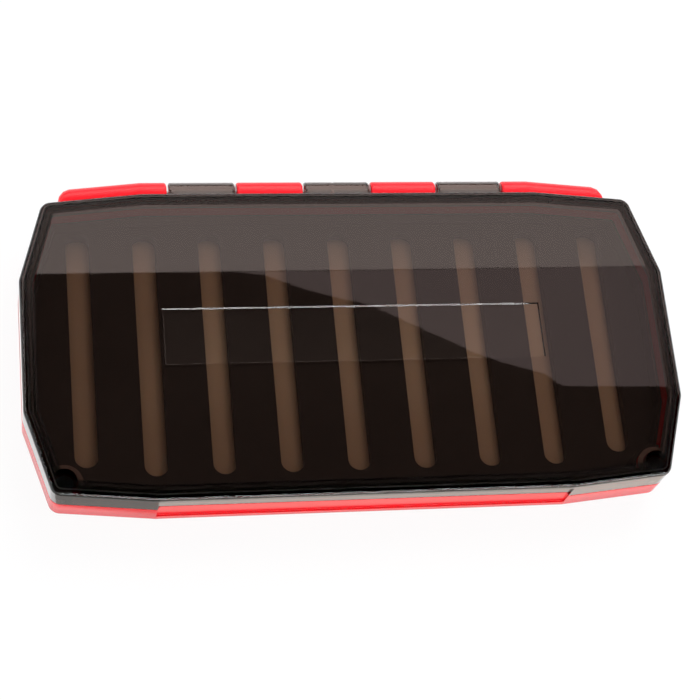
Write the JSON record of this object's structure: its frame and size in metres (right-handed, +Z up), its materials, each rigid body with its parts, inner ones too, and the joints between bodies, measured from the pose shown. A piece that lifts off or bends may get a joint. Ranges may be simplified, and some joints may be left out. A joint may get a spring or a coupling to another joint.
{
  "type": "fly box",
  "caption": "Slim twelve-sided hinged case with a smoky clear lid, a red base and soft strips in a slotted plate for holding fishing flies.",
  "frame": {"origin": "centre of the underside of the whole closed box, hinge knuckles included", "axes": "+X along the box's length to the right as seen from the front, +Y to the hinge at the back, +Z up through the lid"},
  "size_m": [0.19, 0.1014, 0.024],
  "materials": {
    "base_red": "satin moulded",
    "lid_smoke": "polished smoky clear plastic",
    "pin_steel": "drawn",
    "plate_black": "fine grain",
    "sheet": "matt foam tape",
    "magnet": "nickel plated",
    "strip_soft": "translucent matt silicone",
    "seal_black": "matt grained rubber"
  },
  "bodies": {
    "base": {"base_shell": "base_red", "hinge_pin_left": "pin_steel", "hinge_pin_right": "pin_steel", "slotted_plate": "plate_black", "adhesive_sheet": "sheet", "rim_seal": "seal_black", "base_magnet_left": "magnet", "base_magnet_right": "magnet", "strip_1": "strip_soft", "strip_2": "strip_soft", "strip_3": "strip_soft", "strip_4": "strip_soft", "strip_5": "strip_soft", "strip_6": "strip_soft", "strip_7": "strip_soft", "strip_8": "strip_soft", "strip_9": "strip_soft"},
    "lid": {"lid_shell": "lid_smoke", "lid_magnet_left": "magnet", "lid_magnet_right": "magnet"}
  },
  "joints": [
    {"name": "lid_hinge", "type": "hinge", "parent": "base", "child": "lid", "pos_m": [0, 0.0474, 0.0148], "axis": [-1, 0, 0], "range_deg": [0, 180]}
  ]
}
